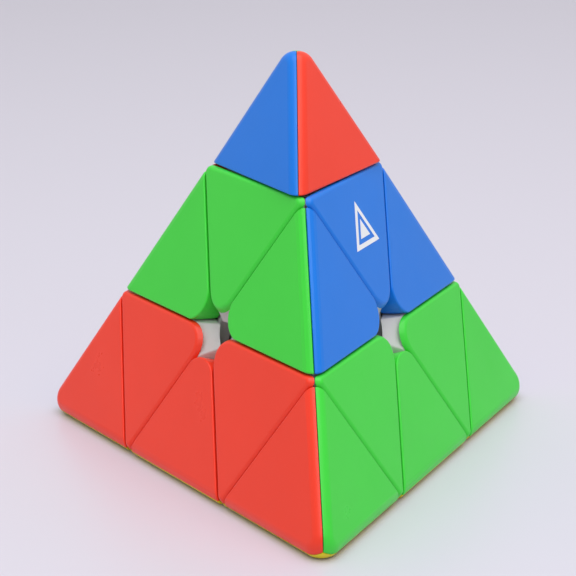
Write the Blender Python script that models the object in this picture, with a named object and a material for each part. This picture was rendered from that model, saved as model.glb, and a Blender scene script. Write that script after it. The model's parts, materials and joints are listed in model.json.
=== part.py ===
# Pyramid twisty puzzle: a tetrahedron of four tips, four axial pieces and six edge pieces
# that turn about four axes on a hollow ball core. Metres, +Z up, origin at the core's centre.

import math

import bmesh
import bpy
from mathutils import Matrix, Vector

# Driving dimensions
edgeOverCorners = 0.098      # edge length of the pyramid over its rounded corners
cornerRadius = 0.0065        # outline of a tip's corner on a face
tipShare = 0.342             # of the sharp edge, from its end to the tip's seam
layerShare = 2 / 3           # of the sharp edge, from its end to the seam of that corner's layer
tipLean = math.radians(-3.7)  # the top tip stands a little turned on its axial piece

# Outer plastics
pieceGap = 0.0004            # between pieces that turn past each other
seamGap = 0.0002             # between parts that are fixed together
edgeFillet = 0.0024          # along the pyramid's edges
innerFillet = 0.0044         # along an edge piece's inner edge
capCornerRadius = 0.0013     # a cap's corners at the pyramid's edges
capPointRadius = 0.004       # a cap's corner at the face's centre
capThickness = 0.002
bodyWall = 0.0015
bodyCutback = 0.0026         # how much the white body's corner is cut back under a cap
shellWall = 0.0015
tipWall = 0.0018

# Mechanism: core, axial stems and edge feet
ballRadius = 0.0142
ballCavityRadius = 0.0095
footInnerRadius = 0.0146
footOuterRadius = 0.0178
undercutRadius = 0.01825     # the axial pieces hold the feet down with this surface
innerPlane = 0.0015          # distance of the turning planes from the centre inside the feet
stalkClearance = 0.0003
stalkReach = 0.025
stalkHalfWidth = 0.006
armRadius = 0.0031
armEnd = 0.0242
screwHoleRadius = 0.0016
screwStart = 0.011
screwRadius = 0.00125
headStart = 0.0430
headHeight = 0.0020
headRadius = 0.0026
socketDepth = 0.0010
stemBoreRadius = 0.0035
stemBoreEnd = 0.0245
bossBoreRadius = 0.0033
bossBoreStart = 0.0263
sleeveRadius = 0.005
pocketFloor = 0.0208
bossRadius = 0.0029
bossStart = 0.0266
plateThickness = 0.0019
cupRadius = 0.0039
cupBoreRadius = 0.0031
cupFloor = 0.0385
cupTop = 0.0445
tipCavityTop = 0.055
springStart = 0.0389
springEnd = 0.0426
springRadius = 0.0023
springWire = 0.0003
springTurns = 4

# Fineness of the round parts, and how far a cutting tool reaches past what it cuts
rodSegments = 20
wideSegments = 24            # sleeve pocket and the tips' turned rounding
headSegments = 18
holeSegments = 16
threadSegments = 12
socketSides = 6
coilSteps = 10               # in one turn of a spring
filletSteps = 3              # across a small fillet
wideFilletSteps = 5          # across a wide fillet
ballDetail = 4               # subdivisions of the outer balls
innerBallDetail = 3          # and of the core and its seats
overcut = 0.001
sharpAngle = math.radians(25)  # edges that turn more than this are shaded sharp
mergeDistance = 1e-6
rawSize = 0.3                # cube that the convex solids are cut from

# Lengths and directions that follow from the driving dimensions
sharpEdge = edgeOverCorners + 2 * (math.sqrt(3) - 1) * cornerRadius
height = sharpEdge * math.sqrt(2 / 3)
faceDistance = height / 4
apexDistance = 3 * height / 4
layerPlane = (3 / 4 - layerShare) * height
tipPlane = (3 / 4 - tipShare) * height
halfGap = pieceGap / 2
halfSeam = seamGap / 2

top = Vector((0, 0, 1))
front = Vector((0, -math.sqrt(8) / 3, -1 / 3))
left = Matrix.Rotation(math.radians(-120), 3, "Z") @ front
right = Matrix.Rotation(math.radians(120), 3, "Z") @ front
corner = {"top": top, "front": front, "left": left, "right": right}
edgeDirection = (top + front).normalized()
acrossEdge = (left - right).normalized()


# Materials

def plastic(name, colour, roughness, metallic=0.0):
    material = bpy.data.materials.new(name)
    material.use_nodes = True
    shader = material.node_tree.nodes["Principled BSDF"]
    shader.inputs["Base Color"].default_value = (*colour, 1)
    shader.inputs["Roughness"].default_value = roughness
    shader.inputs["Metallic"].default_value = metallic
    material.diffuse_color = (*colour, 1)
    return material


# Modelling helpers

def objectFrom(name, bm):
    mesh = bpy.data.meshes.new(name)
    bm.to_mesh(mesh)
    bm.free()
    item = bpy.data.objects.new(name, mesh)
    bpy.context.collection.objects.link(item)
    return item


def solidBetween(planes, size=rawSize):
    """A convex solid: every point with point . normal <= distance for each plane."""
    bm = bmesh.new()
    bmesh.ops.create_cube(bm, size=size)
    for normal, distance in planes:
        everything = bm.verts[:] + bm.edges[:] + bm.faces[:]
        bmesh.ops.bisect_plane(bm, geom=everything, dist=1e-7, plane_co=normal * distance,
                               plane_no=normal, clear_outer=True)
        openEdges = [edge for edge in bm.edges if edge.is_boundary]
        bmesh.ops.holes_fill(bm, edges=openEdges, sides=0)
    bmesh.ops.recalc_face_normals(bm, faces=bm.faces)
    return bm


def roundEdge(bm, normalA, normalB, radius, segments):
    """Fillets the edge where the faces with these two normals meet."""
    def faces(edge, a, b):
        return (edge.link_faces[0].normal.dot(a) > 0.9999
                and edge.link_faces[1].normal.dot(b) > 0.9999)
    chosen = [edge for edge in bm.edges
              if faces(edge, normalA, normalB) or faces(edge, normalB, normalA)]
    interior = math.pi - normalA.angle(normalB)
    bmesh.ops.bevel(bm, geom=chosen, offset=radius / math.tan(interior / 2),
                    offset_type="OFFSET", segments=segments, profile=0.5,
                    affect="EDGES", material=-1, clamp_overlap=False)


def ball(radius, subdivisions=ballDetail):
    bm = bmesh.new()
    bmesh.ops.create_icosphere(bm, subdivisions=subdivisions, radius=radius)
    return objectFrom("ball", bm)


def rod(radius, start, end, segments=rodSegments):
    bm = bmesh.new()
    bmesh.ops.create_cone(bm, cap_ends=True, segments=segments, radius1=radius, radius2=radius,
                          depth=end - start)
    bmesh.ops.translate(bm, vec=(0, 0, (start + end) / 2), verts=bm.verts)
    return objectFrom("rod", bm)


def combine(target, tool, operation):
    """Applies one Boolean to target and removes the tool."""
    modifier = target.modifiers.new(operation, "BOOLEAN")
    modifier.object = tool
    modifier.operation = operation
    modifier.solver = "EXACT"
    bpy.context.view_layer.update()
    evaluated = target.evaluated_get(bpy.context.evaluated_depsgraph_get())
    mesh = bpy.data.meshes.new_from_object(evaluated)
    target.modifiers.clear()
    target.data = mesh
    bpy.data.objects.remove(tool)
    return target


def cut(target, tool):
    return combine(target, tool, "DIFFERENCE")


def join(target, tool):
    return combine(target, tool, "UNION")


def keepInside(target, tool):
    return combine(target, tool, "INTERSECT")


def frameOf(first, second):
    """Rotation whose columns are first, the part of second square to it, and their cross."""
    a = first.normalized()
    b = (second - second.dot(a) * a).normalized()
    return Matrix((a, b, a.cross(b))).transposed()


def turnBetween(fromFirst, fromSecond, toFirst, toSecond):
    return frameOf(toFirst, toSecond) @ frameOf(fromFirst, fromSecond).transposed()


def place(master, name, turn, material):
    """A copy of the master, turned about the core's centre."""
    piece = bpy.data.objects.new(name, master.data.copy())
    bpy.context.collection.objects.link(piece)
    piece.rotation_mode = "QUATERNION"
    piece.rotation_quaternion = turn.to_quaternion()
    piece.data.materials.clear()
    piece.data.materials.append(material)
    piece.data.shade_smooth()
    piece.data.set_sharp_from_angle(angle=sharpAngle)
    return piece


# Master shapes, all for the top corner's axis

def coreShape():
    core = ball(ballRadius, innerBallDetail)
    cut(core, ball(ballCavityRadius, innerBallDetail))
    for axis in corner.values():
        turn = turnBetween(top, front, axis, top if axis != top else front).to_4x4()
        arm = rod(armRadius, ballCavityRadius + overcut, armEnd)
        hole = rod(screwHoleRadius, ballCavityRadius - 2 * overcut, armEnd + overcut)
        for tool in (arm, hole):
            tool.data.transform(turn)
        join(core, arm)
        cut(core, hole)
    return core


def screwShape():
    bm = bmesh.new()
    bmesh.ops.create_cone(bm, cap_ends=True, segments=threadSegments, radius1=screwRadius,
                          radius2=screwRadius, depth=headStart - screwStart)
    bmesh.ops.translate(bm, vec=(0, 0, (screwStart + headStart) / 2), verts=bm.verts)
    shank = objectFrom("screw", bm)
    join(shank, rod(headRadius, headStart - overcut / 10, headStart + headHeight, headSegments))
    return cut(shank, rod(screwRadius, headStart + headHeight - socketDepth,
                          headStart + 2 * headHeight, socketSides))


def springShape():
    curve = bpy.data.curves.new("spring", "CURVE")
    curve.dimensions = "3D"
    curve.bevel_depth = springWire
    curve.bevel_resolution = 1
    curve.use_fill_caps = True
    count = springTurns * coilSteps + 1
    spline = curve.splines.new("POLY")
    spline.points.add(count - 1)
    for index, point in enumerate(spline.points):
        angle = 2 * math.pi * index / coilSteps
        rise = springStart + (springEnd - springStart) * index / (count - 1)
        point.co = (springRadius * math.cos(angle), springRadius * math.sin(angle), rise, 1)
    coil = bpy.data.objects.new("spring", curve)
    bpy.context.collection.objects.link(coil)
    bpy.context.view_layer.update()
    bm = bmesh.new()
    bm.from_mesh(bpy.data.meshes.new_from_object(coil))
    bmesh.ops.remove_doubles(bm, verts=bm.verts, dist=mergeDistance)
    bpy.data.objects.remove(coil)
    return objectFrom("spring", bm)


def axialBodyShape():
    outerFace = faceDistance - capThickness - seamGap
    sidePlane = layerPlane - halfGap
    cutback = edgeDirection.dot(-right) * faceDistance - bodyCutback
    planes = [(top, tipPlane - halfGap), (-top, -(layerPlane + halfGap))]
    for axis in (front, left, right):
        planes.append((-axis, outerFace))
        planes.append((axis, sidePlane))
        planes.append((-(top + axis).normalized(), cutback))
    body = objectFrom("axialBody", solidBetween(planes))
    cut(body, ball(undercutRadius))

    stemSides = [(axis, innerPlane - halfGap) for axis in (front, left, right)]
    stem = objectFrom("stem", solidBetween(stemSides + [(-top, -(innerPlane + halfGap)),
                                                       (top, undercutRadius)]))
    keepInside(stem, ball(footOuterRadius))
    join(body, stem)
    column = solidBetween(planes + stemSides + [(top, pocketFloor)])
    join(body, objectFrom("column", column))
    cut(body, ball(footInnerRadius, innerBallDetail))

    pocket = [(top, tipPlane + pieceGap), (-top, -pocketFloor)]
    for axis in (front, left, right):
        pocket.append((-axis, outerFace - bodyWall))
        pocket.append((axis, sidePlane - bodyWall))
    pocketTool = objectFrom("pocket", solidBetween(pocket))
    boreTop = tipPlane + 2 * overcut
    cut(pocketTool, rod(sleeveRadius, pocketFloor - 2 * overcut, boreTop, wideSegments))
    cut(body, pocketTool)
    cut(body, rod(stemBoreRadius, ballCavityRadius, stemBoreEnd))
    cut(body, rod(bossBoreRadius, bossBoreStart, boreTop))
    return cut(body, rod(screwHoleRadius, stemBoreEnd - overcut, bossBoreStart + overcut,
                         holeSegments))


def capShape():
    """The axial piece's cap on the face opposite the right corner."""
    mitres = [((right - other).normalized(), -halfSeam) for other in (front, left)]
    bm = solidBetween([(-right, faceDistance), (right, capThickness - faceDistance),
                       (top, tipPlane - halfGap), (left, layerPlane - halfGap),
                       (front, layerPlane - halfGap), (-top, -(layerPlane + halfGap))])
    roundEdge(bm, left, front, capPointRadius, wideFilletSteps)
    roundEdge(bm, top, left, capCornerRadius, filletSteps)
    roundEdge(bm, top, front, capCornerRadius, filletSteps)
    cap = objectFrom("cap", bm)
    return keepInside(cap, objectFrom("mitre", solidBetween(mitres)))


def edgeHalfShape():
    """The half shell, on the face opposite the right corner, of the top front edge piece."""
    def hull(inset):
        return solidBetween([(-top, -(layerPlane + halfGap + inset)),
                             (-front, -(layerPlane + halfGap + inset)),
                             (-right, faceDistance - inset), (-left, faceDistance - inset)])
    bm = hull(0)
    roundEdge(bm, -right, -left, edgeFillet, filletSteps)
    roundEdge(bm, -top, -front, innerFillet, wideFilletSteps)
    half = objectFrom("edgeHalf", bm)
    cut(half, objectFrom("hollow", hull(shellWall)))
    cut(half, ball(undercutRadius))
    return keepInside(half, objectFrom("side", solidBetween([(-acrossEdge, -halfSeam)])))


def footShape():
    sides = [(-top, -(innerPlane + halfGap)), (-front, -(innerPlane + halfGap)),
             (left, innerPlane - halfGap), (right, innerPlane - halfGap)]
    foot = objectFrom("foot", solidBetween(sides))
    keepInside(foot, ball(footOuterRadius))
    cut(foot, ball(footInnerRadius, innerBallDetail))
    clear = layerPlane + halfGap + shellWall + stalkClearance
    stalk = solidBetween([(-top, -clear), (-front, -clear), (edgeDirection, stalkReach),
                          (acrossEdge, stalkHalfWidth), (-acrossEdge, stalkHalfWidth)])
    return join(foot, objectFrom("stalk", stalk))


def tipRounder():
    """Turned solid that rounds a corner with a ball tangent to its three edges."""
    centre = apexDistance - cornerRadius * 3 / math.sqrt(2)
    radius = cornerRadius * math.sqrt(1.5)
    step = math.asin(cornerRadius / radius) / wideFilletSteps
    profile = [Vector((radius * math.sin(step * i), 0, centre + radius * math.cos(step * i)))
               for i in range(wideFilletSteps + 1)]
    flange = profile[-1].z
    profile += [Vector((sharpEdge, 0, flange)), Vector((sharpEdge, 0, 0)), Vector((0, 0, 0))]
    bm = bmesh.new()
    points = [bm.verts.new(point) for point in profile]
    edges = [bm.edges.new(pair) for pair in zip(points, points[1:])]
    bmesh.ops.spin(bm, geom=points + edges, cent=(0, 0, 0), axis=(0, 0, 1),
                   angle=2 * math.pi, steps=wideSegments, use_merge=True)
    bmesh.ops.remove_doubles(bm, verts=bm.verts, dist=mergeDistance)
    bmesh.ops.recalc_face_normals(bm, faces=bm.faces)
    return objectFrom("rounder", bm)


def tipShellShape():
    """The tip's coloured shell on the face opposite the right corner."""
    bm = solidBetween([(-top, -(tipPlane + halfGap))]
                      + [(-axis, faceDistance) for axis in (front, left, right)])
    for a, b in ((front, left), (left, right), (right, front)):
        roundEdge(bm, -a, -b, edgeFillet, filletSteps)
    shell = keepInside(objectFrom("tipShell", bm), tipRounder())
    hollow = solidBetween([(-top, -(tipPlane - pieceGap)), (top, tipCavityTop)]
                          + [(-axis, faceDistance - tipWall) for axis in (front, left, right)])
    cut(shell, objectFrom("hollow", hollow))
    sector = [((right - other).normalized(), -halfSeam) for other in (front, left)]
    return keepInside(shell, objectFrom("sector", solidBetween(sector)))


def tipBaseShape():
    inset = tipWall + seamGap
    plateStart = tipPlane + halfGap
    planes = [(-top, -plateStart), (top, plateStart + plateThickness)]
    planes += [(-axis, faceDistance - inset) for axis in (front, left, right)]
    base = objectFrom("tipBase", solidBetween(planes))
    plateMiddle = plateStart + plateThickness / 2
    join(base, rod(bossRadius, bossStart, plateMiddle))
    join(base, rod(cupRadius, plateMiddle, cupTop))
    cut(base, rod(cupBoreRadius, cupFloor, cupTop + overcut))
    return cut(base, rod(screwHoleRadius, bossStart - overcut, cupFloor + overcut, holeSegments))


# Assembly

for old in list(bpy.data.objects):
    bpy.data.objects.remove(old)

colours = {
    "red": plastic("red plastic", (0.80, 0.075, 0.040), 0.32),
    "green": plastic("green plastic", (0.070, 0.62, 0.075), 0.32),
    "blue": plastic("blue plastic", (0.030, 0.20, 0.74), 0.32),
    "yellow": plastic("yellow plastic", (0.80, 0.67, 0.015), 0.32),
}
whitePlastic = plastic("white plastic", (0.78, 0.79, 0.80), 0.35)
nylon = plastic("core nylon", (0.74, 0.75, 0.76), 0.45)
steel = plastic("screw steel", (0.56, 0.57, 0.58), 0.30, 1.0)
springSteel = plastic("spring steel", (0.62, 0.62, 0.61), 0.28, 1.0)

# The face opposite each corner, and its colour on every group of pieces. The upper layer and
# the top tip have each been turned by a third, so their colours run one face further on.
layerColours = {"right": "red", "left": "green", "front": "blue", "top": "yellow"}
upperColours = {"right": "green", "left": "blue", "front": "red"}
topTipColours = {"right": "blue", "left": "red", "front": "green"}

masterCore = coreShape()
masterScrew = screwShape()
masterSpring = springShape()
masterBody = axialBodyShape()
masterCap = capShape()
masterHalf = edgeHalfShape()
masterFoot = footShape()
masterTipShell = tipShellShape()
masterTipBase = tipBaseShape()

place(masterCore, "core", Matrix.Identity(3), nylon)

for name, axis in corner.items():
    others = [key for key in corner if key != name]
    capColours = upperColours if name == "top" else layerColours
    shellColours = topTipColours if name == "top" else layerColours
    lean = Matrix.Rotation(tipLean if name == "top" else 0, 3, axis)
    first = turnBetween(top, right, axis, corner[others[0]])
    place(masterScrew, f"{name}_screw", first, steel)
    place(masterSpring, f"{name}_spring", first, springSteel)
    place(masterBody, f"{name}_axial_body", first, whitePlastic)
    place(masterTipBase, f"{name}_tip_base", lean @ first, whitePlastic)
    for opposite in others:
        turn = turnBetween(top, right, axis, corner[opposite])
        capColour = capColours[opposite]
        shellColour = shellColours[opposite]
        place(masterCap, f"{name}_axial_{capColour}_cap", turn, colours[capColour])
        place(masterTipShell, f"{name}_tip_{shellColour}_shell", lean @ turn,
              colours[shellColour])

names = list(corner)
for a, b in ((a, b) for i, a in enumerate(names) for b in names[i + 1:]):
    faces = [key for key in names if key not in (a, b)]
    edgeColours = upperColours if a == "top" else layerColours
    place(masterFoot, f"{a}_{b}_edge_foot",
          turnBetween(top, front, corner[a], corner[b]), whitePlastic)
    for opposite, other in (faces, faces[::-1]):
        turn = turnBetween(right, left, corner[opposite], corner[other])
        colour = edgeColours[opposite]
        place(masterHalf, f"{a}_{b}_edge_{colour}_half", turn, colours[colour])

for master in (masterCore, masterScrew, masterSpring, masterBody, masterCap, masterHalf,
               masterFoot, masterTipShell, masterTipBase):
    bpy.data.objects.remove(master)
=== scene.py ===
# Looks of the pyramid twisty puzzle: filleted shells, white inner parts, plastic and steel finishes
import itertools
import json
import math

import bmesh
import bpy
from mathutils import Matrix, Vector

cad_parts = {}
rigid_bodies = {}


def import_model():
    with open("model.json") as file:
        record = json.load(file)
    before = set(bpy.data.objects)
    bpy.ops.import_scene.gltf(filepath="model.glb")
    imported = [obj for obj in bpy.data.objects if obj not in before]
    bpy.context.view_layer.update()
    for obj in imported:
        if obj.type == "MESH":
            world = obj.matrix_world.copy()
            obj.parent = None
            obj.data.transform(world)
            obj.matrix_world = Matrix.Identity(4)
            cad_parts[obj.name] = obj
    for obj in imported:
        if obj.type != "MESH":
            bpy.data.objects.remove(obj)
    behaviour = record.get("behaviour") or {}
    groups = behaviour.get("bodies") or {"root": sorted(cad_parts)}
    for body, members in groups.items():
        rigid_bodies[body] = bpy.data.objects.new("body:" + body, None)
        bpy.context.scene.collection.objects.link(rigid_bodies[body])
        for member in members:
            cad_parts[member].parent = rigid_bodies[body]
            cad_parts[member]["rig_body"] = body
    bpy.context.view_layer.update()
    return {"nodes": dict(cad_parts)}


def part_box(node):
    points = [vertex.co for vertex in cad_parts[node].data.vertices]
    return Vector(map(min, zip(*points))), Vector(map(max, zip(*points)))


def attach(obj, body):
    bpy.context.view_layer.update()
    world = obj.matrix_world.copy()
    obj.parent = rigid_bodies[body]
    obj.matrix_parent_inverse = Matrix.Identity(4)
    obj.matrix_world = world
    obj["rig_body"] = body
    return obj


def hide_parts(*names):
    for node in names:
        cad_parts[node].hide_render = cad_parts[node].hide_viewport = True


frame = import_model()
nodes = frame["nodes"]
print("frame loaded:", len(nodes), "nodes")

# Clearances shared by the pieces that slide past each other
slideLook = {"gap": 0.0004,            # between one layer and the next
             "undercut": 0.01825,      # radius of the hollow behind the shells
             "footInside": 0.0146,     # the feet lie between these two radii
             "footOutside": 0.0178,
             "footPlane": 0.0015,      # the feet's side planes pass this far from the core
             "footRound": 0.0005, "footDetail": 2}
halfGap = slideLook["gap"] / 2

# Sizes that follow from the frame: the pyramid rests on its lowest face
faceDistance = -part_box("front_axial_yellow_cap")[0].z
apexDistance = 3 * faceDistance
layerPlane = faceDistance / 3
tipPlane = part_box("top_tip_green_shell")[0].z - halfGap

# The four corners; each face is named by the corner opposite to it
top = Vector((0, 0, 1))
front = Vector((0, -math.sqrt(8) / 3, -1 / 3))
left = Matrix.Rotation(math.radians(-120), 3, "Z") @ front
right = Matrix.Rotation(math.radians(120), 3, "Z") @ front
corner = {"top": top, "front": front, "left": left, "right": right}
edgeDirection = (top + front).normalized()     # from the core to the top front edge
alongEdge = (front - top).normalized()
acrossEdge = (left - right).normalized()


# Mesh helpers

def objectFrom(name, bm):
    mesh = bpy.data.meshes.new(name)
    bm.to_mesh(mesh)
    bm.free()
    piece = bpy.data.objects.new(name, mesh)
    bpy.context.collection.objects.link(piece)
    return piece


def cutAway(bm, normal, distance, onPlane=1e-7):
    # keeps what lies behind the plane, closes the cut and returns the new faces
    everything = bm.verts[:] + bm.edges[:] + bm.faces[:]
    bmesh.ops.bisect_plane(bm, geom=everything, dist=onPlane, plane_co=normal * distance,
                           plane_no=normal, clear_outer=True)
    openEdges = [edge for edge in bm.edges if edge.is_boundary]
    return bmesh.ops.holes_fill(bm, edges=openEdges, sides=0)["faces"]


def solidBetween(planes, rawSize=0.3):
    bm = bmesh.new()
    bmesh.ops.create_cube(bm, size=rawSize)
    for normal, distance in planes:
        cutAway(bm, normal, distance)
    bmesh.ops.recalc_face_normals(bm, faces=bm.faces)
    return bm


def filletEdges(bm, edges, offset, segments):
    bmesh.ops.bevel(bm, geom=edges, offset=offset, offset_type="OFFSET", segments=segments,
                    profile=0.5, affect="EDGES", material=-1, clamp_overlap=False)


def filletBetween(bm, normalA, normalB, radius, segments, sameWay=0.9999):
    # rounds the edge where the two faces with these normals meet
    def match(edge, a, b):
        return (edge.link_faces[0].normal.dot(a) > sameWay
                and edge.link_faces[1].normal.dot(b) > sameWay)
    edges = [edge for edge in bm.edges
             if match(edge, normalA, normalB) or match(edge, normalB, normalA)]
    interior = math.pi - normalA.angle(normalB)
    filletEdges(bm, edges, radius / math.tan(interior / 2), segments)


def hullOf(bm):
    for face in bm.faces[:]:
        bm.faces.remove(face)
    for edge in bm.edges[:]:
        bm.edges.remove(edge)
    made = bmesh.ops.convex_hull(bm, input=bm.verts[:])
    inside = {item for item in made["geom_interior"] if isinstance(item, bmesh.types.BMVert)}
    bmesh.ops.delete(bm, geom=list(inside), context="VERTS")
    bmesh.ops.recalc_face_normals(bm, faces=bm.faces)
    return bm


def grown(bm, radius, detail=3, flatAngle=0.002):
    # a small ball on every corner and the hull of them all: the solid with soft edges
    cloud = bmesh.new()
    for vertex in bm.verts:
        bmesh.ops.create_icosphere(cloud, subdivisions=detail, radius=radius,
                                   matrix=Matrix.Translation(vertex.co))
    bm.free()
    hullOf(cloud)
    bmesh.ops.dissolve_limit(cloud, angle_limit=flatAngle, verts=cloud.verts, edges=cloud.edges)
    return cloud


def grownPiece(piece, radius, detail):
    # the same for a finished convex object, which is used up
    solid = bmesh.new()
    solid.from_mesh(piece.data)
    bpy.data.objects.remove(piece)
    return grown(solid, radius, detail)


def ball(radius, detail=5):
    bm = bmesh.new()
    bmesh.ops.create_icosphere(bm, subdivisions=detail, radius=radius)
    return objectFrom("tool", bm)


def rod(radius, start, end, segments=32):
    bm = bmesh.new()
    bmesh.ops.create_cone(bm, cap_ends=True, segments=segments, radius1=radius, radius2=radius,
                          depth=end - start)
    bmesh.ops.translate(bm, vec=(0, 0, (start + end) / 2), verts=bm.verts)
    return objectFrom("tool", bm)


def combine(piece, tool, operation):
    modifier = piece.modifiers.new(operation, "BOOLEAN")
    modifier.object = tool
    modifier.operation = operation
    modifier.solver = "EXACT"
    bpy.context.view_layer.update()
    evaluated = piece.evaluated_get(bpy.context.evaluated_depsgraph_get())
    mesh = bpy.data.meshes.new_from_object(evaluated)
    piece.modifiers.clear()
    piece.data = mesh
    bpy.data.objects.remove(tool)
    return piece


def calmFlats(piece, smallestArea=2e-5, ring=0.00010, mergeDistance=2e-6):
    # a thin ring inside every large flat keeps the shading of the fillets off it
    bm = bmesh.new()
    bm.from_mesh(piece.data)
    bmesh.ops.remove_doubles(bm, verts=bm.verts, dist=mergeDistance)
    bmesh.ops.dissolve_degenerate(bm, edges=bm.edges, dist=mergeDistance)
    flats = [face for face in bm.faces if face.calc_area() > smallestArea]
    bmesh.ops.inset_individual(bm, faces=flats, thickness=ring, use_even_offset=False)
    bm.to_mesh(piece.data)
    bm.free()


def brokenSeam(bm, normal, distance, size):
    # cuts a little short of the seam and raises the cut face to it with a small chamfer
    cut = cutAway(bm, normal, distance - size)
    bmesh.ops.inset_region(bm, faces=cut, thickness=size, depth=size, use_even_offset=False)


# Finishes

def newMaterial(name):
    material = bpy.data.materials.new(name)
    material.use_nodes = True
    tree = material.node_tree
    return material, tree, tree.nodes["Principled BSDF"]


def noise(tree, scale, detail=3.0, roughness=0.55):
    texture = tree.nodes.new("ShaderNodeTexNoise")
    texture.inputs["Scale"].default_value = scale
    texture.inputs["Detail"].default_value = detail
    texture.inputs["Roughness"].default_value = roughness
    coordinates = tree.nodes.new("ShaderNodeTexCoord")
    tree.links.new(coordinates.outputs["Object"], texture.inputs["Vector"])
    return texture.outputs["Fac"]


def spread(tree, value, low, high, fromLow=0.3, fromHigh=0.7):
    # stretches a value; noise keeps mostly between 0.3 and 0.7
    node = tree.nodes.new("ShaderNodeMapRange")
    node.inputs["From Min"].default_value = fromLow
    node.inputs["From Max"].default_value = fromHigh
    node.inputs["To Min"].default_value = low
    node.inputs["To Max"].default_value = high
    tree.links.new(value, node.inputs["Value"])
    return node.outputs["Result"]


def blended(tree, factor, first, second):
    node = tree.nodes.new("ShaderNodeMix")
    node.data_type = "RGBA"
    node.inputs["A"].default_value = (*first, 1)
    node.inputs["B"].default_value = (*second, 1)
    tree.links.new(factor, node.inputs["Factor"])
    return node.outputs["Result"]


def bump(tree, height, distance, strength, before=None):
    node = tree.nodes.new("ShaderNodeBump")
    node.inputs["Distance"].default_value = distance
    node.inputs["Strength"].default_value = strength
    tree.links.new(height, node.inputs["Height"])
    if before:
        tree.links.new(before, node.inputs["Normal"])
    return node.outputs["Normal"]


def shade(colour, amount):
    return tuple(min(1.0, channel * amount) for channel in colour)


plasticLook = {"flowScale": 38.0, "variation": 0.025,            # streaks of colour
               "handlingScale": 90.0, "handlingDetail": 6.0,     # duller and glossier patches
               "handlingRoughness": 0.65, "roughness": (0.27, 0.37),
               "peelScale": 520.0, "peelDetail": 2.0,            # slow waves of a moulded face
               "peelDepth": 0.000015, "peelStrength": 0.5,
               "grainScale": 3200.0, "grainDetail": 2.0,         # fine grain
               "grainDepth": 0.000006, "grainStrength": 0.4,
               "ior": 1.46, "gloss": 0.45,
               "glow": 0.0, "glowRadius": (0.0012, 0.0010, 0.0008)}
whiteLook = {**plasticLook, "colour": (0.66, 0.65, 0.64), "roughness": (0.30, 0.42),
             "glow": 0.15}
printLook = {**plasticLook, "colour": (0.86, 0.87, 0.88), "roughness": (0.35, 0.45)}
nylonLook = {**plasticLook, "colour": (0.78, 0.79, 0.79), "roughness": (0.38, 0.50),
             "glow": 0.25}
colours = {"red": (0.92, 0.046, 0.016), "green": (0.048, 0.68, 0.046),
           "blue": (0.002, 0.190, 0.74), "yellow": (0.80, 0.68, 0.010)}


def mouldedPlastic(name, look):
    material, tree, shader = newMaterial(name)
    flow = noise(tree, look["flowScale"])
    tint = blended(tree, spread(tree, flow, 0, 1), shade(look["colour"], 1 - look["variation"]),
                   shade(look["colour"], 1 + look["variation"]))
    tree.links.new(tint, shader.inputs["Base Color"])
    handled = noise(tree, look["handlingScale"], look["handlingDetail"],
                    look["handlingRoughness"])
    rough = spread(tree, handled, look["roughness"][0], look["roughness"][1])
    tree.links.new(rough, shader.inputs["Roughness"])
    peel = bump(tree, noise(tree, look["peelScale"], look["peelDetail"]), look["peelDepth"],
                look["peelStrength"])
    grain = bump(tree, noise(tree, look["grainScale"], look["grainDetail"]), look["grainDepth"],
                 look["grainStrength"], peel)
    tree.links.new(grain, shader.inputs["Normal"])
    shader.inputs["IOR"].default_value = look["ior"]
    shader.inputs["Specular IOR Level"].default_value = look["gloss"]
    shader.inputs["Subsurface Weight"].default_value = look["glow"]
    shader.inputs["Subsurface Radius"].default_value = look["glowRadius"]
    shader.inputs["Subsurface Scale"].default_value = 1.0
    return material


steelLook = {"streakScale": 900.0, "streakDetail": 4.0, "darker": 0.88, "lighter": 1.08,
             "smoother": 0.7, "rougher": 1.4, "grainScale": 2600.0, "grainDepth": 0.00001,
             "grainStrength": 0.5}
screwLook = {**steelLook, "colour": (0.55, 0.56, 0.57), "roughness": 0.32}
springLook = {**steelLook, "colour": (0.66, 0.66, 0.65), "roughness": 0.24}


def drawnSteel(name, look):
    material, tree, shader = newMaterial(name)
    streaks = noise(tree, look["streakScale"], look["streakDetail"])
    tint = blended(tree, spread(tree, streaks, 0, 1), shade(look["colour"], look["darker"]),
                   shade(look["colour"], look["lighter"]))
    tree.links.new(tint, shader.inputs["Base Color"])
    rough = spread(tree, streaks, look["roughness"] * look["smoother"],
                   look["roughness"] * look["rougher"])
    tree.links.new(rough, shader.inputs["Roughness"])
    grain = bump(tree, noise(tree, look["grainScale"]), look["grainDepth"],
                 look["grainStrength"])
    tree.links.new(grain, shader.inputs["Normal"])
    shader.inputs["Metallic"].default_value = 1.0
    return material


finishes = {colour + "_plastic": mouldedPlastic(colour + "Plastic", {**plasticLook, "colour": tone})
            for colour, tone in colours.items()}
finishes["white_plastic"] = mouldedPlastic("whitePlastic", whiteLook)
printWhite = mouldedPlastic("printWhite", printLook)
coreNylon = mouldedPlastic("coreNylon", nylonLook)
screwSteel = drawnSteel("screwSteel", screwLook)
springSteel = drawnSteel("springSteel", springLook)
print("finishes made")


# Master shapes, made once at the top corner or the top front edge and copied to their places

def inFace(direction, faceNormal):
    # the part of a direction that lies in a face, as a unit vector
    return (direction - direction.dot(faceNormal) * faceNormal).normalized()


def roundEnd(faceNormal, outOf, side, radius, steps, halfAngle=30, sweep=120):
    # planes, square to a face, around the lobe that points to the middle of that face
    away = inFace(outOf, faceNormal)
    middle = faceNormal * faceDistance
    lobePoint = middle + away * (side - top.dot(middle)) / top.dot(away)
    centre = lobePoint + away * radius / math.sin(math.radians(halfAngle))
    planes = []
    for step in range(steps):
        angle = math.radians(-sweep / 2 + sweep * (step + 0.5) / steps)
        normal = Matrix.Rotation(angle, 3, faceNormal) @ -away
        planes.append((normal, normal.dot(centre) + radius))
    return planes


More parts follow.
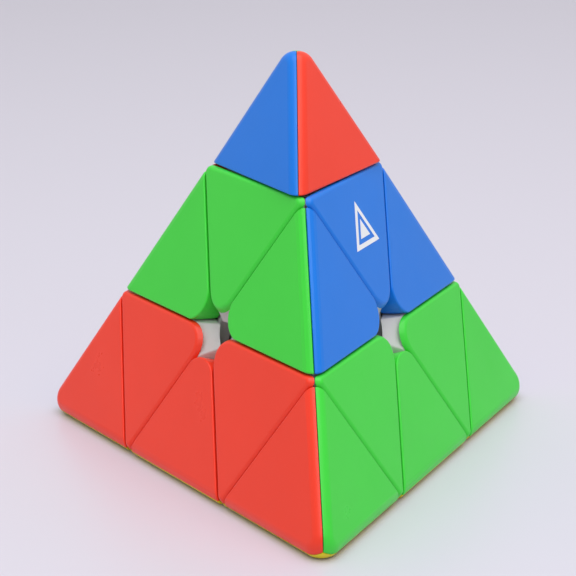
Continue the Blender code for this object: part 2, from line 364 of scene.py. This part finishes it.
edgeLook = {"wall": 0.0013, "edgeFillet": 0.00245, "filletSteps": 6, "rimFillet": 0.0003,
            "endRadius": 0.0051, "endSteps": 14, "seam": 0.00014, "seamBreak": 0.00012}


def edgeHalf():
    # half shell on the face opposite the right corner, of the top front edge piece
    look = edgeLook
    rim = look["rimFillet"]
    side = layerPlane + halfGap
    planes = [(-top, -side), (-front, -side), (-right, faceDistance), (-left, faceDistance)]
    planes += roundEnd(-right, -left, side, look["endRadius"], look["endSteps"])
    planes += roundEnd(-left, -right, side, look["endRadius"], look["endSteps"])

    def shrunk(inset):
        return solidBetween([(normal, distance - inset) for normal, distance in planes])
    solid = shrunk(rim)
    filletBetween(solid, -right, -left, look["edgeFillet"] - rim, look["filletSteps"])
    solid = grown(solid, rim)
    brokenSeam(solid, -acrossEdge, -look["seam"] / 2, look["seamBreak"])
    half = objectFrom("edgeHalf", solid)
    combine(half, objectFrom("tool", shrunk(look["wall"])), "DIFFERENCE")
    combine(half, ball(slideLook["undercut"]), "DIFFERENCE")
    calmFlats(half)
    return half


capLook = {"thickness": 0.0011, "rimFillet": 0.0009, "pointRadius": 0.0050, "pointSteps": 9,
           "cornerRadius": 0.0013, "cornerSteps": 4, "seam": 0.00014}


def axialCap():
    # cap on the face opposite the right corner, of the top axial piece
    look = capLook
    rim = look["rimFillet"]
    side = layerPlane - halfGap - rim
    underside = 2 * look["thickness"] - faceDistance     # a thicker cap, cut thin below
    solid = solidBetween([(-right, faceDistance - rim), (top, tipPlane - halfGap - rim),
                          (left, side), (front, side), (right, underside)])
    filletBetween(solid, left, front, look["pointRadius"] - rim, look["pointSteps"])
    for other in (left, front):
        filletBetween(solid, top, other, look["cornerRadius"] - rim, look["cornerSteps"])
    solid = grown(solid, rim)
    cutAway(solid, right, look["thickness"] - faceDistance)
    for other in (left, front):
        cutAway(solid, (right - other).normalized(), -look["seam"] / 2)
    cap = objectFrom("cap", solid)
    calmFlats(cap)
    return cap


tipLook = {"wall": 0.0016, "edgeFillet": 0.00245, "edgeDetail": 4, "insideDetail": 3,
           "cornerRadius": 0.0036, "cornerSteps": 36, "rimFillet": 0.0003, "rimSteps": 5,
           "baseGap": 0.00015, "seam": 0.00014,
           "lean": math.radians(-3.7)}     # the top tip isn't turned quite home


def tipShell():
    # shell on the face opposite the right corner, of the top tip
    look = tipLook
    inset = look["edgeFillet"]
    apex = apexDistance - 3 * inset
    foot = tipPlane - 4 * inset     # well below the tip, cut off afterwards
    circle = look["cornerRadius"] - inset

    def cloud():
        # the three lower corners and a circle near the apex for each face
        bm = bmesh.new()
        for axis in (front, left, right):
            alongCorner = (axis - top).normalized()
            bm.verts.new(top * apex + alongCorner * (apex - foot) / -alongCorner.z)
            centre = top * apex + inFace(-(axis + top).normalized(), axis) * 2 * circle
            turn = top.rotation_difference(axis).to_matrix().to_4x4()
            bmesh.ops.create_circle(bm, segments=look["cornerSteps"], radius=circle,
                                    matrix=Matrix.Translation(centre) @ turn)
        return hullOf(bm)
    solid = grown(cloud(), inset, look["edgeDetail"])
    rimFace = cutAway(solid, -top, -(tipPlane + look["baseGap"]))
    rimEdges = list({edge for face in rimFace for edge in face.edges})
    filletEdges(solid, rimEdges, look["rimFillet"] * math.sqrt(2), look["rimSteps"])
    for other in (front, left):
        cutAway(solid, (right - other).normalized(), -look["seam"] / 2)
    shell = objectFrom("tipShell", solid)
    inside = grown(cloud(), inset - look["wall"], look["insideDetail"])
    combine(shell, objectFrom("tool", inside), "DIFFERENCE")
    calmFlats(shell)
    return shell


bodyLook = {"roundOver": 0.0005, "capGap": 0.00005,
            "slope": math.radians(37), "slopeDepth": 0.0043,     # bevel round a face's hole
            "edgeCut": 0.0045, "topCut": 0.0012,                 # kept back from the seams
            "columnShort": 0.012, "boreRadius": 0.0033, "boreBelow": 0.006,
            "boreAbove": 0.002}


def axialBody():
    # white body of the top axial piece, with the foot that holds its three edge pieces
    look = bodyLook
    soft = look["roundOver"]
    axes = (front, left, right)
    outerFace = faceDistance - capLook["thickness"] - look["capGap"] - soft
    sidePlane = layerPlane - halfGap - soft
    bottom = layerPlane + halfGap
    planes = [(top, tipPlane - look["topCut"] - soft), (-top, -bottom - soft)]
    for axis in axes:
        planes.append((-axis, outerFace))
        planes.append((axis, sidePlane))
        slope = -axis * math.cos(look["slope"]) + inFace(-top, -axis) * math.sin(look["slope"])
        planes.append((slope, slope.dot(-axis) * faceDistance - look["slopeDepth"] - soft))
        planes.append(((top + axis).normalized(),
                       math.sqrt(3) * faceDistance - look["edgeCut"] - soft))
    body = objectFrom("axialBody", grown(solidBetween(planes), soft))
    combine(body, ball(slideLook["undercut"]), "DIFFERENCE")

    inner = slideLook["footPlane"] - halfGap
    footSoft = slideLook["footRound"]
    foot = objectFrom("tool", solidBetween([(axis, inner - footSoft) for axis in axes] + [
        (-top, -(slideLook["footPlane"] + halfGap)), (top, slideLook["undercut"])]))
    combine(foot, ball(slideLook["footOutside"] - footSoft), "INTERSECT")
    combine(body, objectFrom("tool", grownPiece(foot, footSoft, slideLook["footDetail"])),
            "UNION")

    column = solidBetween([(axis, inner) for axis in axes]
                          + [(-top, -bottom), (top, tipPlane - look["columnShort"])]
                          + [(-axis, outerFace) for axis in axes])
    combine(body, objectFrom("tool", column), "UNION")
    combine(body, ball(slideLook["footInside"]), "DIFFERENCE")
    combine(body, rod(look["boreRadius"], slideLook["footInside"] - look["boreBelow"],
                      tipPlane + look["boreAbove"]), "DIFFERENCE")
    return body


footLook = {"stalkStart": 0.016, "stalkEnd": 0.025, "stalkHalfWidth": 0.004,
            "stalkHalfThickness": 0.001}


def edgeFoot():
    # foot of the top front edge piece, with the stalk up to its shells
    look = footLook
    outer = slideLook["footPlane"] + halfGap
    inner = slideLook["footPlane"] - halfGap
    soft = slideLook["footRound"]
    wedge = objectFrom("tool", solidBetween([(-top, -outer - soft), (-front, -outer - soft),
                                             (left, inner - soft), (right, inner - soft)]))
    combine(wedge, ball(slideLook["footOutside"] - soft), "INTERSECT")
    foot = objectFrom("edgeFoot", grownPiece(wedge, soft, slideLook["footDetail"]))
    combine(foot, ball(slideLook["footInside"]), "DIFFERENCE")
    stalk = solidBetween([(-edgeDirection, -look["stalkStart"]), (edgeDirection, look["stalkEnd"]),
                          (acrossEdge, look["stalkHalfWidth"]),
                          (-acrossEdge, look["stalkHalfWidth"]),
                          (alongEdge, look["stalkHalfThickness"]),
                          (-alongEdge, look["stalkHalfThickness"])])
    return combine(foot, objectFrom("tool", stalk), "UNION")


motifLook = {"outline": 0.0060, "stroke": 0.0009, "inner": 0.0024, "proud": 0.00003,
             "aboveMiddle": 0.0195}


def printedMotif():
    # a plain triangle in a triangular outline, on the front right face of the upper layer
    look = motifLook
    bm = bmesh.new()
    bmesh.ops.create_circle(bm, cap_ends=True, segments=3, radius=look["outline"])
    bmesh.ops.inset_region(bm, faces=bm.faces, thickness=look["stroke"], use_boundary=True,
                           use_even_offset=True)
    middle = [face for face in bm.faces if len(face.verts) == 3]
    bmesh.ops.delete(bm, geom=middle, context="FACES_ONLY")
    bmesh.ops.create_circle(bm, cap_ends=True, segments=3, radius=look["inner"])
    raised = bmesh.ops.extrude_face_region(bm, geom=bm.faces[:], use_keep_orig=True)["geom"]
    bmesh.ops.translate(bm, vec=(0, 0, 2 * look["proud"]),
                        verts=[item for item in raised if isinstance(item, bmesh.types.BMVert)])
    bmesh.ops.recalc_face_normals(bm, faces=bm.faces)
    up = inFace(top, -left)
    facePlace = Matrix((left.cross(up), up, -left)).transposed().to_4x4()
    facePlace.translation = -left * (faceDistance - look["proud"]) + up * look["aboveMiddle"]
    bmesh.ops.transform(bm, matrix=facePlace, verts=bm.verts)
    return objectFrom("printed_motif", bm)


masterHalf = edgeHalf()
print("edge half made", len(masterHalf.data.polygons))
masterCap = axialCap()
print("cap made", len(masterCap.data.polygons))
masterTip = tipShell()
print("tip shell made", len(masterTip.data.polygons))
masterBody = axialBody()
print("axial body made", len(masterBody.data.polygons))
masterFoot = edgeFoot()
print("foot made", len(masterFoot.data.polygons))


# Assembly: the frame's node names say which colour sits on which face

def frameOf(first, second):
    a = first.normalized()
    b = (second - second.dot(a) * a).normalized()
    return Matrix((a, b, a.cross(b))).transposed()


def turnBetween(fromFirst, fromSecond, toFirst, toSecond):
    return frameOf(toFirst, toSecond) @ frameOf(fromFirst, fromSecond).transposed()


def place(master, node, turn, slot, sharpAngle=32):
    # a copy of the master in the node's place, riding where the node rides
    piece = bpy.data.objects.new(node + "_look", master.data.copy())
    bpy.context.collection.objects.link(piece)
    piece.data.transform(turn.to_4x4())
    piece.data.materials.clear()
    piece.data.materials.append(finishes[slot])
    piece.data.shade_smooth()
    piece.data.set_sharp_from_angle(angle=math.radians(sharpAngle))
    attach(piece, nodes[node]["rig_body"])
    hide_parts(node)
    return piece


def coat(node, material):
    # a node that keeps its own solid gets a better finish
    nodes[node].data.materials.clear()
    nodes[node].data.materials.append(material)


def colourOn(prefix, suffix):
    # the nodes named prefix + colour + suffix, with their colours
    return [(prefix + colour + suffix, colour) for colour in colours
            if prefix + colour + suffix in nodes]


def otherCorners(names):
    return [key for key in corner if key not in names]


def facing(node, keys, skin=1e-4):
    # the face that most of the node's points lie against
    points = [nodes[node].matrix_world @ vertex.co for vertex in nodes[node].data.vertices]
    return max(keys, key=lambda key: sum(-point.dot(corner[key]) > faceDistance - skin
                                         for point in points))


for name, axis in corner.items():
    others = otherCorners([name])
    lean = Matrix.Rotation(tipLook["lean"] if name == "top" else 0, 3, axis)
    place(masterBody, f"{name}_axial_body", turnBetween(top, right, axis, corner[others[0]]),
          "white_plastic")
    for node, colour in colourOn(f"{name}_axial_", "_cap"):
        turn = turnBetween(top, right, axis, corner[facing(node, others)])
        place(masterCap, node, turn, colour + "_plastic")
    for node, colour in colourOn(f"{name}_tip_", "_shell"):
        turn = turnBetween(top, right, axis, corner[facing(node, others)])
        place(masterTip, node, lean @ turn, colour + "_plastic")
    coat(f"{name}_tip_base", finishes["white_plastic"])
    coat(f"{name}_screw", screwSteel)
    coat(f"{name}_spring", springSteel)

for a, b in itertools.combinations(corner, 2):
    place(masterFoot, f"{a}_{b}_edge_foot", turnBetween(top, front, corner[a], corner[b]),
          "white_plastic")
    for node, colour in colourOn(f"{a}_{b}_edge_", "_half"):
        side = facing(node, otherCorners([a, b]))
        other = otherCorners([a, b, side])[0]
        place(masterHalf, node, turnBetween(right, left, corner[side], corner[other]),
              colour + "_plastic")

motif = printedMotif()
motif.data.materials.append(printWhite)
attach(motif, nodes["top_axial_blue_cap"]["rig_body"])
coat("core", coreNylon)
for master in (masterHalf, masterCap, masterTip, masterBody, masterFoot):
    bpy.data.objects.remove(master)
print("pieces in place")


# Camera, floor and light

# distances in lengths of the pyramid's edge, measured to its sharp corners
cameraLook = {"azimuth": -3.89, "elevation": 16.87, "roll": -0.48, "distance": 4.156,
              "sideways": -0.0189, "upwards": 0.1096, "lens": 139.72,
              "sensor": 36, "nearest": 0.01}
sharpEdge = 4 * faceDistance / math.sqrt(2 / 3)


def placeCamera(look):
    azimuth, elevation = math.radians(look["azimuth"]), math.radians(look["elevation"])
    back = Vector((math.sin(azimuth) * math.cos(elevation),
                   -math.cos(azimuth) * math.cos(elevation), math.sin(elevation)))
    side = (-back).cross(Vector((0, 0, 1))).normalized()
    up = side.cross(-back)
    data = bpy.data.cameras.new("camera")
    data.lens = look["lens"]
    data.sensor_width = look["sensor"]
    data.clip_start = look["nearest"]
    camera = bpy.data.objects.new("camera", data)
    bpy.context.collection.objects.link(camera)
    camera.location = sharpEdge * (back * look["distance"] + side * look["sideways"]
                                   + up * look["upwards"])
    turned = Matrix.Rotation(math.radians(look["roll"]), 3, back)
    camera.rotation_euler = Matrix((turned @ side, turned @ up, back)).transposed().to_euler()
    bpy.context.scene.camera = camera


floorLook = {"halfSize": 3, "colour": (0.645, 0.625, 0.705), "roughness": 0.35}


def paleFloor(look):
    bm = bmesh.new()
    bmesh.ops.create_grid(bm, x_segments=1, y_segments=1, size=look["halfSize"])
    bmesh.ops.translate(bm, vec=(0, 0, -faceDistance), verts=bm.verts)
    floor = objectFrom("floor", bm)
    material, _, shader = newMaterial("paleFloor")
    shader.inputs["Base Color"].default_value = (*look["colour"], 1)
    shader.inputs["Roughness"].default_value = look["roughness"]
    floor.data.materials.append(material)


lightLook = {"overhead": {"location": (0.05, -0.15, 0.75), "size": (0.9, 0.9), "power": 4.9},
             "high front": {"location": (0.0, -0.75, 0.60), "size": (0.9, 0.5), "power": 1.3}}


def softLight(name, look):
    data = bpy.data.lights.new(name, "AREA")
    data.shape = "RECTANGLE"
    data.size, data.size_y = look["size"]
    data.energy = look["power"]
    lamp = bpy.data.objects.new(name, data)
    bpy.context.collection.objects.link(lamp)
    lamp.location = look["location"]
    lamp.rotation_euler = (-Vector(look["location"])).to_track_quat("-Z", "Y").to_euler()


worldLook = {"colour": (0.96, 0.94, 0.97), "front": 0.48, "back": 0.71,
             "frontAt": -1.0, "backAt": 0.5}


def softWorld(look):
    # paler round the sides and back, darker from the front
    world = bpy.data.worlds.new("softWorld")
    world.use_nodes = True
    tree = world.node_tree
    direction = tree.nodes.new("ShaderNodeTexCoord")
    split = tree.nodes.new("ShaderNodeSeparateXYZ")
    tree.links.new(direction.outputs["Generated"], split.inputs["Vector"])
    strength = spread(tree, split.outputs["Y"], look["front"], look["back"],
                      look["frontAt"], look["backAt"])
    tree.links.new(strength, tree.nodes["Background"].inputs["Strength"])
    tree.nodes["Background"].inputs["Color"].default_value = (*look["colour"], 1)
    return world


placeCamera(cameraLook)
paleFloor(floorLook)
for name, look in lightLook.items():
    softLight(name, look)
bpy.context.scene.world = softWorld(worldLook)
bpy.context.scene.view_settings.view_transform = "Standard"
print("stage set")
